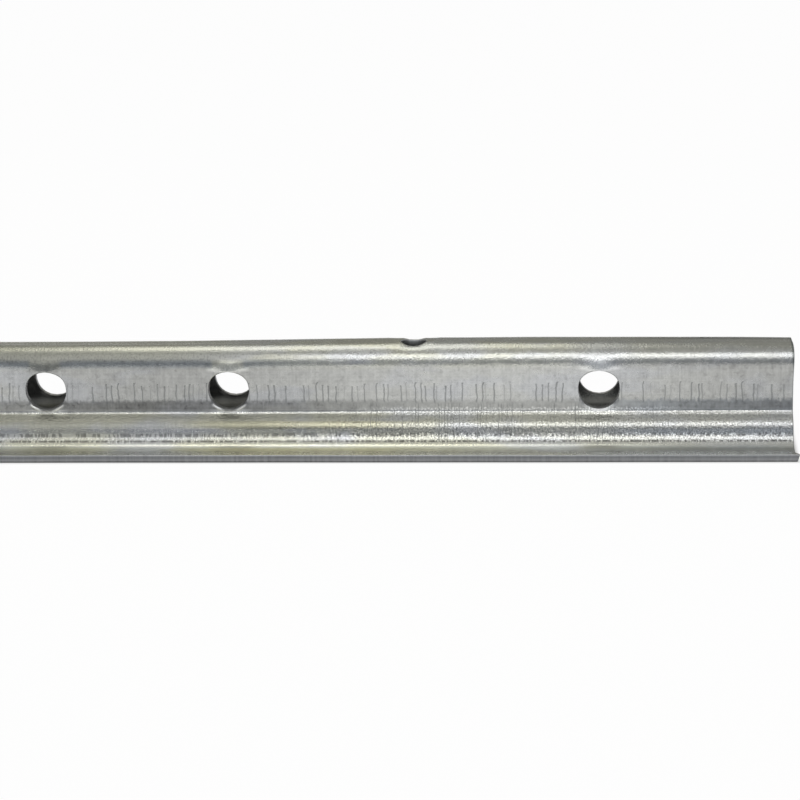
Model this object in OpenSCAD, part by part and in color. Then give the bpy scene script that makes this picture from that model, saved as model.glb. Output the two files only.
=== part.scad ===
// Omega bracket: one strip of galvanised sheet rolled into a hat section with
// a narrow flat-topped head, upright walls, a stepped flare and two flat feet.
// Wall holes run across the bar, crown holes run down through the head.
// Millimetres. X runs along the bar, Z is up, the feet stand on Z = 0.

/* [Stock] */
// length of the bar
bar_length = 1000; // [250:50:3000]
// thickness of the sheet
sheet = 2; // [1.2:0.1:2.4]

/* [Section] */
// height from the floor to the top of the head
section_height = 27.5; // [27:0.5:60]
// width over the head
head_width = 16; // [14:0.5:40]
// radius on the head's two corners, measured on the outside
head_radius = 5.5; // [3:0.25:6]
// width over the two feet
base_width = 44; // [42:1:90]
// radius of the crease where the wall turns outward
crease_radius = 1; // [0.5:0.1:2]
// angle of the shelf below the crease, from upright
shelf_angle = 58; // [45:1:70]
// straight part of the shelf
shelf_length = 2.1; // [1:0.1:3]
// radius on the shoulder between the shelf and the skirt
shoulder_radius = 4; // [3:0.25:6]
// angle of the skirt below the shoulder, from upright
skirt_angle = 18; // [10:1:44]
// straight part of the skirt
skirt_length = 0.9; // [0.3:0.1:4]
// radius of the bend from the skirt into the foot
foot_radius = 4.8; // [4:0.1:6]

/* [Holes] */
// distance from the right end of the bar to the first hole station
end_margin = 51.5; // [20:0.5:100]
// distance from one hole station to the next
hole_pitch = 50; // [30:1:100]
// a crown hole takes the place of the wall holes at one station in this many
crown_every = 3; // [2:1:6]
// which station of each such group, counted from the right end, has the crown hole
crown_station = 2; // [1:1:6]
// diameter of the wall holes
wall_hole_d = 11; // [5:0.5:11.5]
// diameter of the crown holes
crown_hole_d = 7; // [4:0.5:9]

/* [Finish] */
// colour of the zinc coat
zinc_colour = "#a3a59c"; // ["#a3a59c", "#8f938f", "#c0c2bf"]

/* [Hidden] */
$fn = 96;

// each bend is drawn in this many chords
bend_chords = 16;
// how far a cutter reaches past the face it starts from
cut_clear = 1;

// drop of the stepped flare from the end of the wall to the top of the foot
crease_drop = crease_radius * sin(shelf_angle);
shelf_drop = shelf_length * cos(shelf_angle);
shoulder_drop = shoulder_radius * (sin(shelf_angle) - sin(skirt_angle));
skirt_drop = skirt_length * cos(skirt_angle);
foot_drop = foot_radius * (1 - sin(skirt_angle));
flare_drop = crease_drop + shelf_drop + shoulder_drop + skirt_drop + foot_drop;

// the straight wall takes what the head and the flare leave of the height
wall_y = head_width / 2;
wall_top = section_height - head_radius;
wall_bottom = sheet + flare_drop;
wall_hole_z = (wall_top + wall_bottom) / 2;

// the unit vector that points straight out of the sheet where it leans by an angle from upright
function outward(angle) = [cos(angle), sin(angle)];
// the unit vector that runs down the sheet there
function downhill(angle) = [sin(angle), -cos(angle)];

// centres of the four bends of one side: the straight pieces between them follow from these
head_centre = [wall_y - head_radius, wall_top];
crease_centre = [wall_y + crease_radius, wall_bottom];
shelf_start = crease_centre - crease_radius * outward(shelf_angle);
shelf_end = shelf_start + shelf_length * downhill(shelf_angle);
shoulder_centre = shelf_end - shoulder_radius * outward(shelf_angle);
skirt_start = shoulder_centre + shoulder_radius * outward(skirt_angle);
skirt_end = skirt_start + skirt_length * downhill(skirt_angle);
foot_centre = skirt_end + foot_radius * outward(skirt_angle);

// stations run on while a whole wall hole still fits before the left end
station_count = 1 + floor((bar_length - end_margin - wall_hole_d) / hole_pitch);

function station_x(k) = bar_length / 2 - end_margin - (k - 1) * hole_pitch;
function has_crown_hole(k) = k % crown_every == crown_station % crown_every;
function backwards(list) = [for (i = [len(list) - 1 : -1 : 0]) list[i]];
function mirrored(list) = [for (p = list) [-p[0], p[1]]];

// one bend between two angles from upright; a negative radius makes it hollow
function bend(centre, radius, from, to) = [
    for (i = [0 : bend_chords])
        centre + radius * outward(from + (to - from) * i / bend_chords)
];

// one side of the sheet from the crown to the lip, at a depth below its outside
function skin(depth) = concat(
    bend(head_centre, head_radius - depth, 90, 0),
    bend(crease_centre, -crease_radius - depth, 0, shelf_angle),
    bend(shoulder_centre, shoulder_radius - depth, shelf_angle, skirt_angle),
    bend(foot_centre, -foot_radius - depth, skirt_angle, 90),
    [[base_width / 2, sheet - depth]]
);

module section() {
    right = concat(skin(0), backwards(skin(sheet)));
    left = mirrored(backwards(right));
    polygon(concat(right, left));
}

// one hole across both walls
module wall_hole(x) {
    through = head_width + 2 * cut_clear;
    translate([x, 0, wall_hole_z])
        rotate([90, 0, 0])
            cylinder(d = wall_hole_d, h = through, center = true);
}

// one hole down through the crown
module crown_hole(x) {
    depth = sheet + head_radius;
    translate([x, 0, section_height - depth])
        cylinder(d = crown_hole_d, h = depth + cut_clear);
}

module bar() {
    color(zinc_colour)
        difference() {
            rotate([90, 0, 90])
                linear_extrude(bar_length, center = true)
                    section();
            for (k = [1 : station_count])
                if (has_crown_hole(k))
                    crown_hole(station_x(k));
                else
                    wall_hole(station_x(k));
        }
}

bar();
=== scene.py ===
import math

import bpy
import numpy as np
from mathutils import Matrix, Vector


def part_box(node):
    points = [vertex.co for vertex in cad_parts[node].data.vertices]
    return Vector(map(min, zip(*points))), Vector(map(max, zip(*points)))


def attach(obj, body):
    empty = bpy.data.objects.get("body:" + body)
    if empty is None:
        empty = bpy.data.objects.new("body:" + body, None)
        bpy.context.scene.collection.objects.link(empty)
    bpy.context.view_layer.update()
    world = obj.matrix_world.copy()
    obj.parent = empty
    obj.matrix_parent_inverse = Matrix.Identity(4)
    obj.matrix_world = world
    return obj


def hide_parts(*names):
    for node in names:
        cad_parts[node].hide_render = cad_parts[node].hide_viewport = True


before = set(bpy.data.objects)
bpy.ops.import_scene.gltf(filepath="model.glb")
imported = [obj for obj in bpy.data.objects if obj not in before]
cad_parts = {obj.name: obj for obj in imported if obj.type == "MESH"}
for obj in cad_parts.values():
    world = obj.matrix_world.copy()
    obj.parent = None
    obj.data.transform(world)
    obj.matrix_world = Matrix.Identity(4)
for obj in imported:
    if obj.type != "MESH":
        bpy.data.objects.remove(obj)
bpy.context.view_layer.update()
scene = bpy.context.scene
scene.view_settings.view_transform = "Standard"
barLow, barHigh = [np.array(corner) * 1000 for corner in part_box("bar")]  # millimetres
print("frame loaded, bar runs from", barLow.round(2), "to", barHigh.round(2))


# One output socket of a node tree. Arithmetic on it adds Math nodes, add() puts in any other node.
class Wire:
    def __init__(self, tree, socket=None):
        self.tree = tree
        self.socket = socket

    def add(self, kind, settings=None, sockets=None, out=0):
        node = self.tree.nodes.new(kind)
        for name, value in (settings or {}).items():
            if name == "stops":
                self.fillRamp(node.color_ramp, value)
            else:
                setattr(node, name, value)
        for name, value in (sockets or {}).items():
            if isinstance(value, Wire):
                self.tree.links.new(value.socket, node.inputs[name])
            else:
                node.inputs[name].default_value = value
        return Wire(self.tree, node.outputs[out] if node.outputs else None)

    # another output of the node that this one comes from
    def outlet(self, which):
        return Wire(self.tree, self.socket.node.outputs[which])

    def fillRamp(self, ramp, stops):
        while len(ramp.elements) < len(stops):
            ramp.elements.new(0.5)
        for element, (place, colour) in zip(ramp.elements, stops):
            element.position = place
            element.color = (*colour, 1.0)

    def math(self, operation, first, second=0.0, third=0.0):
        return self.add("ShaderNodeMath", {"operation": operation}, {0: first, 1: second, 2: third})

    def __add__(self, other):
        return self.math("ADD", self, other)

    def __radd__(self, other):
        return self.math("ADD", other, self)

    def __sub__(self, other):
        return self.math("SUBTRACT", self, other)

    def __rsub__(self, other):
        return self.math("SUBTRACT", other, self)

    def __mul__(self, other):
        return self.math("MULTIPLY", self, other)

    def __rmul__(self, other):
        return self.math("MULTIPLY", other, self)

    def __truediv__(self, other):
        return self.math("DIVIDE", self, other)

    def __rtruediv__(self, other):
        return self.math("DIVIDE", other, self)

    def __abs__(self):
        return self.math("ABSOLUTE", self)

    # 0 below low, 1 above high, with a soft step between them; low above high turns it round
    def step(self, low, high):
        turned = low > high
        ends = {1: min(low, high), 2: max(low, high), 3: 1.0 if turned else 0.0, 4: 0.0 if turned else 1.0}
        return self.add("ShaderNodeMapRange", {"interpolation_type": "SMOOTHSTEP"}, {0: self, **ends})

    # 1 between two values and 0 outside them, with soft ends
    def band(self, low, high, soft):
        return self.step(low - soft, low + soft) * self.step(high + soft, high - soft)

    # the first colour where this mask is 0 and the second where it is 1
    def tint(self, first, second, how="MIX"):
        colours = {0: self, 6: colourOf(first), 7: colourOf(second)}
        return self.add("ShaderNodeMix", {"data_type": "RGBA", "blend_type": how}, colours, out=2)


def colourOf(value):
    return value if isinstance(value, Wire) else (*value, 1.0)


def freshTree(block):
    block.use_nodes = True
    block.node_tree.nodes.clear()
    return Wire(block.node_tree)


# camera: where it stands, how it is turned from looking straight along +Y, and its lens
cameraValues = {
    "place": (448.2, -731.3, 223.8),  # millimetres
    "yaw": -4.21, "pitch": 16.189, "roll": -1.33,  # degrees
    "lens": 126.0,
}


def makeCamera(v):
    yaw, pitch, roll = [math.radians(v[name]) for name in ("yaw", "pitch", "roll")]
    look = Vector((math.sin(yaw) * math.cos(pitch), math.cos(yaw) * math.cos(pitch), -math.sin(pitch)))
    level = Vector((math.cos(yaw), -math.sin(yaw), 0.0))
    upright = level.cross(look)
    right = level * math.cos(roll) + upright * math.sin(roll)
    up = upright * math.cos(roll) - level * math.sin(roll)
    data = bpy.data.cameras.new("bench_camera")
    data.sensor_fit = "HORIZONTAL"
    data.sensor_width = 36.0
    data.lens = v["lens"]
    camera = bpy.data.objects.new("bench_camera", data)
    turn = Matrix((right, up, -look)).transposed().to_4x4()
    camera.matrix_world = Matrix.Translation(Vector(v["place"]) / 1000) @ turn
    scene.collection.objects.link(camera)
    scene.camera = camera


makeCamera(cameraValues)
print("camera placed")


# bar: the section is the strip's own, and the rest is how far rolling, punching and cutting bent it
barValues = {
    "sheet": 2.0, "headRadius": 5.5, "headWidth": 16.0,
    "creaseRadius": 1.0, "shelfAngle": 58.0, "shelfLength": 2.1,
    "shoulderRadius": 4.0, "skirtAngle": 18.0, "skirtLength": 0.9, "footRadius": 4.8,
    "endMargin": 51.5, "holePitch": 50.0, "crownEvery": 3, "crownStation": 2,
    "wallHole": 11.0, "crownHole": 7.0,
    "wallBlock": 9.0, "crownBlock": (7.0, 5.0),  # half sizes of the patches round the holes
    "bulge": 0.75, "bulgeWide": 3.8,  # the head's bend opens above a wall hole
    "dish": 0.35, "dishWide": 1.6,  # the sheet is drawn in round its lower half
    "droop": 0.42, "droopWide": 2.2,  # the bend pulls the upper rim of a wall hole down
    "dip": 0.5, "dipWide": 2.6,  # the crown sinks at a crown hole
    "holeRoll": 0.25, "lipRoll": 0.09, "endRoll": 0.15, "insideRoll": 0.15, "lipInside": 0.05,  # rounded edges
    "waveDepth": 0.03, "lipWave": 0.10, "crownSag": 0.4, "headRise": 0.24,
    "endDrag": 8.0, "cutDrag": 0.2, "lipDrag": 1.1, "headDrag": 0.25,  # the saw pulls the end
}


# Runs of the strip on one side, from the middle of the crown to the lip. Each run has a length and the
# lean from upright at its two ends, so it is a straight or an even bend.
def sectionRuns(v, high):
    shelf, skirt = math.radians(v["shelfAngle"]), math.radians(v["skirtAngle"])
    quarter = math.pi / 2
    halfHead = v["headWidth"] / 2
    drop = (v["creaseRadius"] * math.sin(shelf) + v["shelfLength"] * math.cos(shelf)
            + v["shoulderRadius"] * (math.sin(shelf) - math.sin(skirt))
            + v["skirtLength"] * math.cos(skirt) + v["footRadius"] * (1 - math.sin(skirt)))
    reach = (v["creaseRadius"] * (1 - math.cos(shelf)) + v["shelfLength"] * math.sin(shelf)
             + v["shoulderRadius"] * (math.cos(skirt) - math.cos(shelf))
             + v["skirtLength"] * math.sin(skirt) + v["footRadius"] * math.cos(skirt))
    wall = high[2] - v["headRadius"] - v["sheet"] - drop
    lengths = np.array([
        halfHead - v["headRadius"], v["headRadius"] * quarter, wall, v["creaseRadius"] * shelf, v["shelfLength"],
        v["shoulderRadius"] * (shelf - skirt), v["skirtLength"], v["footRadius"] * (quarter - skirt),
        high[1] - halfHead - reach])
    leans = np.array([quarter, quarter, 0, 0, shelf, shelf, skirt, skirt, quarter, quarter])
    starts = np.concatenate([[0.0], np.cumsum(lengths)])
    runs = {"start": starts, "lean": leans[:-1], "curve": np.diff(leans) / lengths,
            "y": np.zeros(9), "z": np.full(9, high[2]), "total": starts[-1]}
    for k in range(8):  # nine runs, each starts where the one before it ends
        y, z, lean = alongRuns(runs, starts[k + 1:k + 2], np.array([k]))
        runs["y"][k + 1], runs["z"][k + 1] = y[0], z[0]
    return runs


# Point of the outside at a distance s from the crown's middle: the integral of (sin lean, -cos lean) over
# the run, which is a straight step or, where lean grows evenly, (cos a - cos b, sin a - sin b) / curve.
def alongRuns(runs, s, k=None):
    if k is None:
        k = np.clip(np.searchsorted(runs["start"], s, side="right") - 1, 0, 8)
    step = s - runs["start"][k]
    a, curve = runs["lean"][k], runs["curve"][k]
    b = a + curve * step
    bent = np.abs(curve) > 1e-9
    safe = np.where(bent, curve, 1.0)
    y = runs["y"][k] + np.where(bent, (np.cos(a) - np.cos(b)) / safe, np.sin(a) * step)
    z = runs["z"][k] + np.where(bent, (np.sin(a) - np.sin(b)) / safe, -np.cos(a) * step)
    return y, z, b


# Soft step from 0 at low to 1 at high.
def ease(value, low, high):
    t = np.clip((value - low) / (high - low), 0, 1)
    return t * t * (3 - 2 * t)


# Depth that a rounded edge falls below its face, at a distance from the edge: a quarter circle.
def rollOff(distance, radius):
    near = np.clip(radius - distance, 0, radius)
    return radius - np.sqrt(np.maximum(radius * radius - near * near, 0))


# Gap along the bar from points to the nearest of some hole stations.
def stationGap(x, stations):
    return np.abs(x[:, None] - stations[None, :]).min(axis=1)


# How far the strip is pushed in round the holes, in millimetres: a bulge that grows with the square of the
# way down the head to a wall hole's rim and fades along the bar as a bell, a dish round the lower half of
# that rim that shrinks with the square of the gap to it and is slight right below the hole, and a dip round
# each crown hole.
def pushIn(v, lay, wallGap, crownGap, wallRim, s):
    path = np.abs(s)
    middle, radius = lay["wallMiddle"], v["wallHole"] / 2
    top = middle - radius
    bulge = np.clip((path - top + 4.7) / 4.7, 0, 1) ** 2 * ease(top + 3.0 - path, 0, 3.0)
    dish = np.clip(1 - wallRim / v["dishWide"], 0, 1) ** 2 * ease(path - middle, 0.15 * radius, 0.75 * radius)
    dish = dish * ease(lay["wallRows"][1] + 0.9 - path, 0, 0.9) * (1 - 0.7 * np.exp(-(wallGap / 2.3) ** 2))
    dip = ease(s, -6.5, -3.3) * ease(9.0 - s, 0, 4.5)
    return (-v["bulge"] * bulge * np.exp(-(wallGap / v["bulgeWide"]) ** 2) + v["dish"] * dish
            + v["dip"] * dip * np.exp(-(crownGap / v["dipWide"]) ** 4))


# One skin of the strip: a point (x, s) of the flattened strip is carried to the section at x, then moved in
# along the normal by the skin's depth, the rounded edges, the push round the holes and three long waves.
def skinPoints(v, runs, lay, x, s, inside):
    path = np.abs(s)
    side = np.where(s < 0, -1.0, 1.0)
    half, total = lay["half"], runs["total"]
    wallGap, crownGap = stationGap(x, lay["wallStations"]), stationGap(x, lay["crownStations"])
    wallRim = np.maximum(np.hypot(wallGap, path - lay["wallMiddle"]) - v["wallHole"] / 2, 0)
    rim = np.minimum(wallRim, np.maximum(np.hypot(crownGap, s) - v["crownHole"] / 2, 0))
    # the upper rim of a wall hole slides down the strip, less with the square of the gap to it
    above = ease(lay["wallMiddle"] - path, 0.17 * v["wallHole"], 0.5 * v["wallHole"])
    droop = v["droop"] * np.clip(1 - wallRim / v["droopWide"], 0, 1) ** 2 * above
    y, z, lean = alongRuns(runs, path + droop)
    lip, end = total - path, half - np.abs(x)
    wave = v["waveDepth"] * ease(lip, 6.0, 14.0) * (
        np.sin(x / 23.0 + 0.4 * s) + 0.7 * np.sin(x / 9.1 + 0.9 + 0.23 * s) + 0.4 * np.sin(x / 4.3 - 0.31 * s))
    if inside:
        depth = v["sheet"] - np.maximum.reduce([
            rollOff(rim, v["insideRoll"]), rollOff(lip, v["lipInside"]), rollOff(end, v["endRoll"])])
    else:
        depth = np.maximum.reduce([
            rollOff(rim, v["holeRoll"]), rollOff(lip, v["lipRoll"]), rollOff(end, v["endRoll"])])
    depth = depth + pushIn(v, lay, wallGap, crownGap, wallRim, s) + wave
    y = side * (y - depth * np.cos(lean))
    # the crown's far half sinks and comes up again slowly along the bar, less so near the crown holes
    sag = v["crownSag"] * (1 - np.sin((x - 370.0) / 40.0)) * (1 - 0.8 * np.exp(-(crownGap / 12.0) ** 2))
    sag = sag * ease(s, -7.5, 3.5) * ease(9.5 - s, 0, 5.0)
    z = z - depth * np.sin(lean) + v["headRise"] * ease(lip, 20.0, 34.0) - sag
    # the lip wanders a little in and out
    wander = np.sin(x / 31.0) + 0.6 * np.sin(x / 7.7 + 1.3) - 1.6
    y = y + side * v["lipWave"] * ease(path, total - 5, total) * wander
    # the near lip and the head stand out at the cut ends
    pull = (v["cutDrag"] + v["lipDrag"] * ease(-s, total - 2.0, total - 0.3) * (0.5 if inside else 1.0)
            + v["headDrag"] * np.exp(-((s + 8.0) / 5.0) ** 2))
    drag = pull * (ease(x, half - v["endDrag"], half) - 0.4 * ease(-x, half - v["endDrag"], half))
    return np.column_stack([x + drag, y, z]) / 1000, np.minimum(rim, np.minimum(lip, end))


# Even steps from one knot to the next, with a given number of steps between each pair.
def stepsBetween(knots, counts):
    pieces = [np.linspace(a, b, n, endpoint=False) for a, b, n in zip(knots[:-1], knots[1:], counts)]
    return np.concatenate(pieces + [knots[-1:]])


# Where the holes are and the lines of the grid: columns across the bar, rows along it, both in millimetres of
# the flattened strip. A hole's patch starts and ends on grid lines.
def layOut(v, runs, high):
    half = high[0]
    count = 1 + int((2 * half - v["endMargin"] - v["wallHole"]) // v["holePitch"])
    k = np.arange(1, count + 1)
    stations = half - v["endMargin"] - (k - 1) * v["holePitch"]
    isCrown = k % v["crownEvery"] == v["crownStation"] % v["crownEvery"]
    start = runs["start"]
    reach = np.where(isCrown, v["crownBlock"][0], v["wallBlock"])
    order = np.argsort(stations)
    patchLow, patchHigh = (stations - reach)[order], (stations + reach)[order]
    fine = np.array([0, 0.09, 0.22, 0.8, 2.0, 4.0])
    inner = np.column_stack([patchLow, patchHigh]).ravel()
    knots = np.concatenate([-half + fine, inner, (half - fine)[::-1]])
    gaps = np.diff(knots)
    steps = np.maximum(np.round(gaps / 4.0).astype(int), 1)
    inPatch = np.zeros(len(gaps), bool)
    inPatch[len(fine):len(fine) + len(inner) - 1:2] = True
    steps[inPatch] = np.where(isCrown[order], 8, 10)
    columns = stepsBetween(knots, steps)
    lipRows = start[9] - np.array([2.0, 0.9, 0.42, 0.24, 0.1, 0.0])
    halfRows = stepsBetween(
        np.concatenate([[0.0, v["crownBlock"][1]], start[2:9], lipRows]),
        [4, 8, 10, 6, 3, 4, 4, 8, 4, 1, 1, 1, 1, 1])
    rows = np.concatenate([-halfRows[:0:-1], halfRows])
    return {"half": half, "columns": columns, "rows": rows, "wallMiddle": (start[2] + start[3]) / 2,
            "wallRows": (start[2], start[3]), "wallStations": stations[~isCrown],
            "crownStations": stations[isCrown]}


# Patch round a hole: rays run straight out from the rim circle to the patch's square edge, whose points are
# grid points, and rings cross them at set distances from the rim. Returns new points and faces.
def holePatch(lay, x, s, radius, reachX, rowLow, rowHigh, offsets, firstNew):
    columns, rows = lay["columns"], lay["rows"]
    c0, c1 = np.searchsorted(columns, [x - reachX - 1e-6, x + reachX - 1e-6])
    r0, r1 = np.searchsorted(rows, [rowLow - 1e-6, rowHigh - 1e-6])
    i = np.concatenate([np.arange(c0, c1), np.full(r1 - r0, c1), np.arange(c1, c0, -1), np.full(r1 - r0, c0)])
    j = np.concatenate([np.full(c1 - c0, r0), np.arange(r0, r1), np.full(c1 - c0, r1), np.arange(r1, r0, -1)])
    edge = np.column_stack([columns[i], rows[j]]) - (x, s)
    far = np.hypot(edge[:, 0], edge[:, 1])
    ray = edge / far[:, None]
    room = far - radius
    out = np.minimum(np.array(offsets)[:, None], room[None, :] * np.linspace(0, 0.92, len(offsets))[:, None])
    points = (x, s) + ray[None] * (radius + out)[:, :, None]
    rays = len(i)
    ids = np.concatenate([firstNew + np.arange(len(offsets) * rays).reshape(-1, rays),
                          (i * len(rows) + j)[None]])
    nextIds = np.roll(ids, -1, axis=1)
    faces = np.stack([ids[:-1], ids[1:], nextIds[1:], nextIds[:-1]], axis=-1).reshape(-1, 4)
    return points.reshape(-1, 2), faces, ids[0], (c0, c1, r0, r1)


# The whole strip as one closed mesh: the flat pattern is a grid with a patch at every hole, and it is carried
# to the outside and the inside of the section. Strips of faces close the rims, the lips and the two ends.
def makeBar(v, high):
    runs = sectionRuns(v, high)
    lay = layOut(v, runs, high)
    columns, rows = lay["columns"], lay["rows"]
    gridX, gridS = np.meshgrid(columns, rows, indexing="ij")
    points = [np.column_stack([gridX.ravel(), gridS.ravel()])]
    whole = np.ones((len(columns) - 1, len(rows) - 1), bool)
    patches, rims, total = [], [], gridX.size
    wallOffsets = [0, 0.1, 0.26, 0.52, 1.0, 1.9, 3.2]
    crownOffsets = [0, 0.1, 0.26, 0.52, 0.9]
    spots = [(x, side * lay["wallMiddle"], v["wallHole"] / 2, v["wallBlock"],
              *sorted((side * lay["wallRows"][0], side * lay["wallRows"][1])), wallOffsets)
             for x in lay["wallStations"] for side in (-1, 1)]
    reachX, reachS = v["crownBlock"]
    spots += [(x, 0.0, v["crownHole"] / 2, reachX, -reachS, reachS, crownOffsets) for x in lay["crownStations"]]
    for spot in spots:
        new, faces, rim, (c0, c1, r0, r1) = holePatch(lay, *spot, total)
        whole[c0:c1, r0:r1] = False
        points.append(new)
        patches.append(faces)
        rims.append(rim)
        total += len(new)
    flat = np.concatenate(points)
    ids = np.arange(gridX.size).reshape(gridX.shape)
    cells = np.stack([ids[:-1, :-1], ids[1:, :-1], ids[1:, 1:], ids[:-1, 1:]], axis=-1)[whole]
    skin = np.concatenate([cells] + patches)
    sides = [np.stack([rim, np.roll(rim, -1), np.roll(rim, -1) + total, rim + total], axis=-1) for rim in rims]
    farLip, nearLip, leftEnd, rightEnd = ids[:, -1], ids[::-1, 0], ids[0], ids[-1, ::-1]
    for line in (farLip, nearLip, leftEnd, rightEnd):
        sides.append(np.stack([line[:-1], line[1:], line[1:] + total, line[:-1] + total], axis=-1))
    faces = np.concatenate([skin, skin[:, ::-1] + total] + sides)
    outer, edgeGap = skinPoints(v, runs, lay, flat[:, 0], flat[:, 1], False)
    inner = skinPoints(v, runs, lay, flat[:, 0], flat[:, 1], True)[0]
    mesh = bpy.data.meshes.new("bar_sheet")
    mesh.vertices.add(2 * total)
    mesh.vertices.foreach_set("co", np.concatenate([outer, inner]).astype(np.float32).ravel())
    mesh.loops.add(faces.size)
    mesh.loops.foreach_set("vertex_index", faces.astype(np.int32).ravel())
    mesh.polygons.add(len(faces))
    mesh.polygons.foreach_set("loop_start", np.arange(0, faces.size, 4, dtype=np.int32))
    mesh.polygons.foreach_set("use_smooth", np.ones(len(faces), bool))
    mesh.update(calc_edges=True)
    mesh.validate()
    # what the zinc reads: place along the bar, place across the strip, gap to the nearest cut edge
    for name, value in (("along", flat[:, 0]), ("across", flat[:, 1]), ("edgeGap", edgeGap)):
        layer = mesh.attributes.new(name, "FLOAT", "POINT")
        layer.data.foreach_set("value", np.tile(value, 2).astype(np.float32))
    skinSide = np.repeat([0.0, 1.0], total)
    mesh.attributes.new("inside", "FLOAT", "POINT").data.foreach_set("value", skinSide.astype(np.float32))
    mesh.set_sharp_from_angle(angle=math.radians(50))
    bar = bpy.data.objects.new("bar_sheet", mesh)
    scene.collection.objects.link(bar)
    print("bar made,", len(columns), "columns", len(rows), "rows", len(faces) * 2, "triangles")
    return bar, runs["start"]


bar, marks = makeBar(barValues, barHigh)


# zinc: colours are what the coat shows in even light, except the blue, which is painted shade; lengths are
# millimetres
zincValues = {
    "cool": (0.545, 0.555, 0.56), "plain": (0.56, 0.565, 0.545), "olive": (0.57, 0.57, 0.50),
    "straw": (0.62, 0.60, 0.44), "blueShade": (0.50, 0.54, 0.58),
    "scratch": (0.17, 0.18, 0.18), "cutEdge": (0.38, 0.385, 0.39),
    "roughness": 0.26, "roughChange": 0.10, "wallShade": 0.81, "slowTone": 0.12, "lowShade": 0.25,
    "scratchGap": 1.65, "scratchWide": 0.19, "scratchTop": 14.7, "scratchFoot": 20.0, "endDarkFrom": 499.65,
    "grainDepth": 0.03, "rippleDepth": 0.13, "scratchDepth": 0.03,
    "poolDepth": 0.13, "poolWide": 0.5, "dragDepth": 0.12,
    "slowLength": 29.3,  # how slowly clean and dull coat follow each other along the bar
    "firstHole": 448.5, "halfPitch": 25.0,
}
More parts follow.
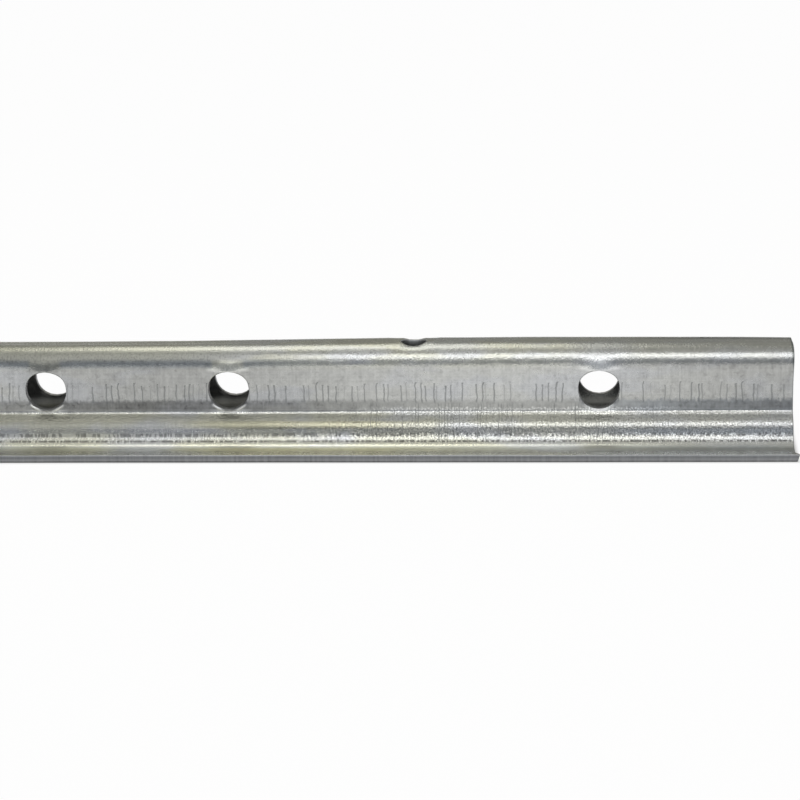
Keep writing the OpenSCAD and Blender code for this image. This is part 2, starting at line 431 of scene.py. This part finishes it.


# Zinc coat: cloudy cool and olive tones with draw lines along the bar, upright scratches low on the walls,
# a band of painted shade over the crease, painted highlights and painted shade on the bends and round the wall
# holes, clean and dull streaks that come and go along the bar, bare cut edges, and fine ripples where the strip
# was bent hardest.
def makeZinc(v, marks):
    wallStart, creaseStart, shelfEnd, skirtEnd, footStart = [marks[k] for k in (2, 3, 5, 7, 8)]
    material = bpy.data.materials.new("zinc_coat")
    tree = freshTree(material)

    def read(name):
        return tree.add("ShaderNodeAttribute", {"attribute_name": name}, out=2)

    along, across, gap, inside = [read(name) for name in ("along", "across", "edgeGap", "inside")]
    path = abs(across)

    def noise(x, s, detail=2.0, rough=0.5):
        place = tree.add("ShaderNodeCombineXYZ", None, {0: along * x, 1: across * s})
        return tree.add("ShaderNodeTexNoise", {"noise_dimensions": "2D"},
                        {"Vector": place, "Scale": 1.0, "Detail": detail, "Roughness": rough})

    clouds = noise(0.035, 0.11, 3.0)
    blotches = noise(0.26, 0.3, 3.0, 0.6)
    drawLines = noise(0.012, 1.7, 3.0, 0.6)
    uprights = noise(1.3, 0.06, 3.0, 0.6)
    grain = noise(1.6, 1.6, 4.0, 0.65)
    ripple = noise(1.7, 1.2, 3.0, 0.65)
    mottle = noise(0.8, 0.7, 3.0, 0.6)
    speckle = noise(2.1, 1.7, 2.0, 0.6)
    smears = noise(0.42, 0.5, 4.0, 0.7).step(0.55, 0.72)
    slow = tree.math("SINE", along / v["slowLength"] - 12.8)  # a long wave of cleaner and duller coat

    wall = path.band(wallStart - 1.5, creaseStart - 0.1, 0.7)
    # a band of painted shade low on the wall, over the crease, with a ragged upper edge; the coat is also
    # rougher there
    lowEdge = path + 1.6 * (uprights - 0.5) + 1.6 * (mottle - 0.5)
    low = lowEdge.step(creaseStart - 3.5, creaseStart - 2.3) * path.step(creaseStart + 0.3, creaseStart - 0.1)
    crease = path.band(creaseStart, creaseStart + 1.0, 0.35)
    edgeBand = path.band(3.9, 6.0, 0.7)  # the far part of the head's bend
    shelf = path.band(creaseStart + 1.3, shelfEnd + 0.2, 0.3)
    # streaks of dull, rougher coat, painted darker as painted shade over the bright bands towards the left, and
    # painted shade that makes the upper edge of the foot's bend dark and ragged
    bendTop = path.band(skirtEnd + 0.1, skirtEnd + 1.2, 0.35)
    dullCoatAndShade = along.step(385.0, 340.0) * (path.band(6.5, 9.4, 0.6) + path.band(26.6, 28.4, 0.4) + 0.8 * bendTop)
    raggedShade = bendTop * noise(1.5, 0.35, 1.0).step(0.56, 0.44)
    # painted highlight on the lower part of the foot's bend, stronger towards the left
    footBend = path.band(skirtEnd + 2.4, footStart - 0.8, 0.8)
    # painted highlight where the foot's bend runs into the foot, towards the left
    toeHighlight = path.step(skirtEnd + 3.2, skirtEnd + 3.9) * path.step(footStart + 3.0, footStart - 0.2)
    toeHighlight = toeHighlight * along.step(475.0, 440.0)
    # a row of dark beads between the two bright lines of the foot's bend
    beads = path.band(skirtEnd + 2.1, skirtEnd + 2.7, 0.2) * noise(2.0, 0.2, 1.0).step(0.44, 0.53)
    # painted highlight along the middle of the foot's bend towards the right; its upper edge is painted a little
    # lighter too
    bendCore = path.band(skirtEnd + 1.15, skirtEnd + 2.1, 0.3) * along.step(340.0, 385.0)
    # painted highlight on the shoulder towards the right, and painted shade on and below it towards the left
    shoulder = (path.band(26.4, 27.5, 0.35) * along.step(375.0, 410.0)
                - path.band(28.0, 28.8, 0.35) * along.step(335.0, 360.0)
                - 0.7 * path.band(27.5, 28.6, 0.3) * along.band(345.0, 392.0, 10.0))
    # a painted dark bluish reflection line under the head's bend, broken at the wall holes
    station = tree.math("PINGPONG", along - v["firstHole"], v["halfPitch"])  # gap to the nearest hole station
    blueLine = path.band(8.9, 10.9, 0.8) * along.step(385.0, 340.0) * station.step(3.6, 5.0)
    # painted highlights on the zinc dragged over the lower rim of each wall hole, and painted highlights above
    # and below it; the one above turns slightly dark towards the left end
    awayFromEnds = abs(along).step(490.0, 480.0)
    draggedZincAndHighlight = gap.step(1.1, 0.1) * path.band(21.3, 23.2, 0.5) * awayFromEnds
    aboveHoleHighlight = gap.step(3.3, 1.2) * path.band(8.7, 11.6, 0.5) * awayFromEnds
    aboveHoleHighlight = aboveHoleHighlight * (1.2 * along.step(305.0, 345.0) - 0.2)
    belowRimHighlight = gap.step(3.2, 0.6) * path.band(22.5, 24.3, 0.3) * awayFromEnds
    underHoleHighlight = gap.step(5.0, 2.0) * path.band(23.6, 25.8, 0.4) * awayFromEnds
    # painted light over the dark reflection under the head's bend, and darker along the bend's middle near the
    # right end
    underBendLight = path.band(8.6, 11.0, 0.6) * along.band(350.0, 452.0, 14.0)
    endStreak = path.band(5.6, 7.2, 0.5) * along.step(440.0, 465.0)
    # on the duller left part: no painted highlight and no pooled zinc right below the middle of a wall hole, and
    # a thin burr with a painted highlight on either side
    leftPart = along.step(400.0, 370.0)
    belowMiddle = station.step(4.0, 0.8) * leftPart
    fromBurr = (gap - 0.55) / 0.28
    whiskerAndHighlight = tree.math("EXPONENT", 0.0 - fromBurr * fromBurr) * path.band(20.8, 22.9, 0.4)
    whiskerAndHighlight = whiskerAndHighlight * station.band(2.0, 4.6, 0.5) * leftPart * (1.0 - inside)
    # dark specks all over the flare, and white specks painted as a broken highlight along the upper edge of the
    # crease, both towards the right
    sparkle = speckle.step(0.50, 0.36) * (path.band(23.9, 32.3, 0.6) * along.step(345.0, 390.0)
                                          + 0.5 * path.band(6.5, 9.5, 0.5) * along.step(430.0, 390.0))
    creaseEdge = (path + 1.5 * (noise(1.7, 0.15) - 0.5)).band(creaseStart - 0.8, creaseStart + 0.1, 0.25)
    creaseEdge = creaseEdge * speckle.step(0.44, 0.58) * along.band(386.0, 466.0, 9.0)
    farCrown = along.step(450.0, 470.0) * across.band(0.8, 4.8, 0.7)
    flare = path.step(creaseStart - 0.3, creaseStart + 0.3) * path.step(footStart - 1.5, footStart - 3.5)
    head = path.step(wallStart + 1.0, wallStart - 1.5)
    foot = path.step(footStart - 2.5, footStart + 1.5)

    # upright scratches: one thin line in each cell of a row of uneven cells, its length from the cell's colour
    def linesAt(place, size, wide):
        nearest = tree.add("ShaderNodeTexVoronoi", {"voronoi_dimensions": "1D", "feature": "F1"},
                           {"W": place / size, "Scale": 1.0, "Randomness": 1.0})
        chance = tree.add("ShaderNodeSeparateColor", None, {0: nearest.outlet(1)})
        return (nearest * size).step(wide * 1.6, wide * 0.3), chance, chance.outlet(1), nearest * size

    hook = tree.math("MAXIMUM", 15.9 - path, 0.0)
    wander = (noise(0.2, 0.35, 2.0) - 0.5) * 0.8 - hook * hook * 0.3
    thin, chance, ending, away = linesAt(along + wander, v["scratchGap"], v["scratchWide"])
    run = (path - ending * 1.2).step(v["scratchTop"], v["scratchTop"] + 0.5)
    run = run * (path - chance * 0.8).step(v["scratchFoot"] + 0.3, v["scratchFoot"] - 0.6)
    dots = away.step(0.40, 0.18) * (path - ending * 1.2).band(v["scratchTop"] + 0.2, v["scratchTop"] + 0.45, 0.2)
    scratches = (thin * run + dots * 0.55) * chance.step(0.1, 0.7) * (1.0 - inside)
    # finer lines that run on down the flare
    fine, fineChance, fineEnd = linesAt(along + (noise(0.3, 0.15) - 0.5), 0.8, 0.11)[:3]
    fine = fine * path.step(20.4, 21.4) * (path - fineEnd * 8.0).step(27.0, 25.0) * fineChance.step(0.35, 0.95)
    fineHere = slow.step(-0.35, 0.4) * noise(0.12, 0.0).step(0.28, 0.5)
    fineHere = fineHere * (0.62 + 0.3 * along.band(388.0, 440.0, 10.0))
    scratches = scratches + fine * fineHere * (1.0 - inside)

    colour = clouds.step(0.42, 0.62).tint(v["plain"], v["cool"])
    olive = (head + path.step(creaseStart, creaseStart + 1.2)) * clouds.step(0.66, 0.40)
    olive = tree.math("MAXIMUM", olive * along.step(485.0, 400.0), 0.8 * head * along.step(365.0, 325.0))
    colour = olive.tint(colour, v["olive"])
    # a straw tint comes and goes along the flare
    straw = tree.math("SINE", along / v["slowLength"] - 10.96).step(0.2, 0.9)
    straw = straw * (path.band(26.4, 28.4, 0.5) + path.step(footStart - 1.6, footStart - 0.4)) * (1.0 - inside)
    colour = (0.8 * straw).tint(colour, v["straw"])
    # bluish painted shade: the line under the head's bend, and towards the right the low band on the wall and a
    # band on the skirt
    blueLow = (low + path.band(28.7, 30.3, 0.5)) * along.step(438.0, 466.0)
    colour = (0.7 * blueLine + 0.6 * blueLow).tint(colour, v["blueShade"])
    tone = 0.82 + 0.14 * drawLines + 0.14 * blotches + 0.14 * (grain - 0.5) + 0.12 * clouds
    # the wall is painted darker as painted shade, more where the slow wave is low
    tone = tone * (1.0 - (1.0 - v["wallShade"] - v["slowTone"] * slow) * wall) - 0.06 * foot + 0.50 * toeHighlight
    tone = tone + 0.22 * (mottle - 0.5) + (0.24 * (blotches - 0.5) - 0.14 * smears) * wall
    # the head, then the flare from the crease down to the foot's bend, then round the wall holes, with painted
    # highlights and painted shade on the bright bands
    tone = tone - 0.24 * edgeBand - 0.34 * farCrown - 0.16 * endStreak + 0.17 * underBendLight - 0.13 * blueLine
    tone = tone + 0.55 * creaseEdge + 0.16 * crease + 0.16 * shelf + 0.22 * shoulder + 0.06 * flare
    tone = tone - 0.30 * dullCoatAndShade - 0.36 * sparkle - 0.50 * raggedShade + 0.14 * bendTop + 0.20 * bendCore - 0.66 * beads
    tone = tone + (0.14 + 0.16 * along.step(405.0, 360.0)) * footBend
    tone = tone + 0.55 * aboveHoleHighlight * (0.5 + speckle) + 0.3 * underHoleHighlight * (1.0 - belowMiddle)
    tone = tone + (0.5 * belowRimHighlight + 0.80 * draggedZincAndHighlight) * (1.0 - 1.1 * belowMiddle) + 0.6 * whiskerAndHighlight
    # one small ding on the near foot below the first wall hole, painted as a highlight with a dark line beside
    # it
    ding = along.band(446.8, 450.8, 0.8) * across.band(-39.5, -38.5, 0.3)
    tone = tone + 0.4 * ding - 0.35 * along.band(445.8, 449.6, 0.8) * across.band(-38.2, -37.8, 0.2)
    # the low band is darkened as painted shade, more where the slow wave is low
    tone = tone + 0.2 * (uprights - 0.5) * (wall + flare) - v["lowShade"] * low * (1.1 - 0.35 * slow)
    tone = tone * (1.0 - 0.3 * inside)  # painted shade inside the channel
    grey = tree.add("ShaderNodeCombineColor", None, {0: tone, 1: tone, 2: tone})
    colour = tree.add("ShaderNodeMix", {"data_type": "RGBA", "blend_type": "MULTIPLY"},
                      {0: 1.0, 6: colour, 7: grey}, out=2)
    colour = (scratches * 0.52).tint(colour, v["scratch"])

    # cut faces: a brighter rolled-over edge with a painted highlight, then a sheared band, then a painted dark
    # shadow line along the inner edge
    sheared = noise(0.9, 0.0, 3.0, 0.6)
    cutTone = (0.85 + 0.50 * inside.step(0.26, 0.0) - 0.10 * inside.band(0.3, 0.42, 0.10)
               - 0.45 * inside.step(0.72, 0.95) + 0.45 * (sheared - 0.5) + 0.3 * (grain - 0.5))
    cutGrey = tree.add("ShaderNodeCombineColor", None, {0: cutTone, 1: cutTone, 2: cutTone})
    cutColour = tree.add("ShaderNodeMix", {"data_type": "RGBA", "blend_type": "MULTIPLY"},
                         {0: 1.0, 6: colourOf(v["cutEdge"]), 7: cutGrey}, out=2)
    colour = gap.step(0.16, 0.04).tint(colour, cutColour)
    # darker along the sawn ends, and a few dark marks on the crown's far edge near the right end
    endDark = (abs(along) + 0.35 * head).step(v["endDarkFrom"], v["endDarkFrom"] + 0.3)
    marksAt = along.band(474.6, 480.2, 1.2) + along.band(484.6, 488.4, 1.0)
    smudge = marksAt * across.band(1.7, 4.4, 0.8) * blotches.step(0.36, 0.56)
    colour = (0.85 * endDark + 0.8 * smudge).tint(colour, v["scratch"])

    roughness = v["roughness"] + v["roughChange"] * (clouds - 0.5) + 0.12 * (blotches - 0.5) + 0.08 * low
    roughness = roughness + 0.03 * crease - 0.08 * footBend + 0.18 * dullCoatAndShade - 0.05 * flare
    dullToe = path.step(skirtEnd + 3.6, skirtEnd + 4.3) * path.step(footStart + 2.2, footStart + 0.4)
    roughness = roughness + 0.17 * dullToe + 0.15 * gap.step(0.2, 0.02) + 0.15 * scratches + 0.12 * inside
    rippleHere = 0.15 + 0.35 * head + 0.85 * flare
    # zinc pooled in the crease and dragged out below each wall hole eases the corner: a bell across the crease
    # and a ramp down to the rim
    fromCrease = (path - creaseStart - 0.75) / v["poolWide"]
    pool = tree.math("EXPONENT", 0.0 - fromCrease * fromCrease) * (0.4 + 1.2 * uprights) * (1.0 - inside)
    pool = pool * (0.3 + 0.7 * along.step(365.0, 400.0)) * (1.0 - belowMiddle)
    ramp = draggedZincAndHighlight * tree.math("MAXIMUM", path - 20.2, 0.0) * (1.0 - inside)
    height = v["grainDepth"] * grain + v["rippleDepth"] * ripple * rippleHere - v["scratchDepth"] * scratches
    height = height + v["poolDepth"] * (pool + whiskerAndHighlight) + v["dragDepth"] * ramp
    bump = tree.add("ShaderNodeBump", None, {"Strength": 1.0, "Distance": 0.001, "Height": height})
    surface = tree.add("ShaderNodeBsdfPrincipled", None, {
        "Base Color": colour, "Metallic": 1.0, "Roughness": roughness, "Normal": bump})
    tree.add("ShaderNodeOutputMaterial", None, {"Surface": surface})
    return material


bar.data.materials.append(makeZinc(zincValues, marks))
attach(bar, "root")
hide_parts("bar")
print("zinc coat made")


# floor and studio: the floor is seen nearly white and still takes the shadow
studioValues = {
    "floorHalf": 30.0, "floorColour": (0.82, 0.82, 0.81), "floorWhite": 0.97, "underBar": 0.08,
    "sky": [(0.0, (0.30, 0.315, 0.335)), (0.15, (0.30, 0.315, 0.335)), (0.27, (0.43, 0.43, 0.42)),
            (0.5, (0.52, 0.52, 0.49)), (0.70, (0.45, 0.45, 0.41)), (0.85, (0.29, 0.29, 0.265)),
            (1.0, (0.25, 0.25, 0.23))],
    "frontLamp": {"place": (424, -228, 287), "aim": (424, -8, 15), "size": (0.36, 0.123), "power": 0.27,
                  "colour": (1.0, 1.0, 1.0)},
    "backLamp": {"place": (332, 175, 375), "aim": (332, 0, 15), "size": (0.20, 0.27), "power": 0.29,
                 "colour": (1.0, 0.985, 0.88)},
}


# Floor: a grid that is flat under the bar and everywhere else.
def makeFloor(v, barHalf):
    line = np.linspace(-v["floorHalf"], v["floorHalf"], 9)
    x, y = np.meshgrid(line, line, indexing="ij")
    ids = np.arange(81).reshape(9, 9)
    faces = np.stack([ids[:-1, :-1], ids[1:, :-1], ids[1:, 1:], ids[:-1, 1:]], axis=-1).reshape(-1, 4)
    mesh = bpy.data.meshes.new("floor")
    mesh.from_pydata(np.column_stack([x.ravel(), y.ravel(), np.full(81, -0.0001)]).tolist(), [], faces.tolist())
    floor = bpy.data.objects.new("floor", mesh)
    scene.collection.objects.link(floor)
    material = bpy.data.materials.new("pale_floor")
    tree = freshTree(material)
    ray = tree.add("ShaderNodeLightPath")
    seen = tree.math("MAXIMUM", ray.outlet("Is Camera Ray"), ray.outlet("Is Glossy Ray"))
    seen = tree.math("MAXIMUM", seen, ray.outlet("Is Transmission Ray"))
    matte = tree.add("ShaderNodeBsdfDiffuse", None, {"Color": (*v["floorColour"], 1.0)})
    white = tree.add("ShaderNodeEmission", None, {"Color": (1, 1, 1, 1), "Strength": 1.0})
    # little light comes from the floor under the bar itself
    place = tree.add("ShaderNodeTexCoord", out=3)
    parts = tree.add("ShaderNodeSeparateXYZ", None, {0: place})
    beside = tree.math("MAXIMUM", abs(parts).step(barHalf[0], barHalf[0] + 0.002),
                       abs(parts.outlet(1)).step(barHalf[1] - 0.001, barHalf[1] + 0.001))
    shown = v["underBar"] + (1.0 - v["underBar"]) * beside
    mixed = tree.add("ShaderNodeMixShader", None, {0: seen * shown * v["floorWhite"], 1: matte, 2: white})
    tree.add("ShaderNodeOutputMaterial", None, {"Surface": mixed})
    mesh.materials.append(material)


# Sky: its tone depends only on the angle round the bar's own direction, from the front over the top to the back.
def makeSky(v):
    world = bpy.data.worlds.new("studio")
    scene.world = world
    tree = freshTree(world)
    direction = tree.add("ShaderNodeTexCoord")
    parts = tree.add("ShaderNodeSeparateXYZ", None, {0: direction})
    turn = tree.math("ARCTAN2", parts.outlet(2), 0.0 - parts.outlet(1)) / math.pi
    tone = tree.add("ShaderNodeValToRGB", {"stops": v["sky"]}, {0: turn})
    background = tree.add("ShaderNodeBackground", None, {"Color": tone, "Strength": 1.0})
    tree.add("ShaderNodeOutputWorld", None, {"Surface": background})


def makeLamp(name, v):
    data = bpy.data.lights.new(name, "AREA")
    data.shape = "RECTANGLE"
    data.size, data.size_y = v["size"]
    data.energy = v["power"]
    data.color = v["colour"]
    lamp = bpy.data.objects.new(name, data)
    place, aim = Vector(v["place"]) / 1000, Vector(v["aim"]) / 1000
    lamp.location = place
    lamp.rotation_euler = (aim - place).to_track_quat("-Z", "Y").to_euler()
    lamp.visible_camera = False
    scene.collection.objects.link(lamp)


makeFloor(studioValues, barHigh / 1000)
makeSky(studioValues)
makeLamp("front_lamp", studioValues["frontLamp"])
makeLamp("back_lamp", studioValues["backLamp"])
print("floor, sky and lamps made")
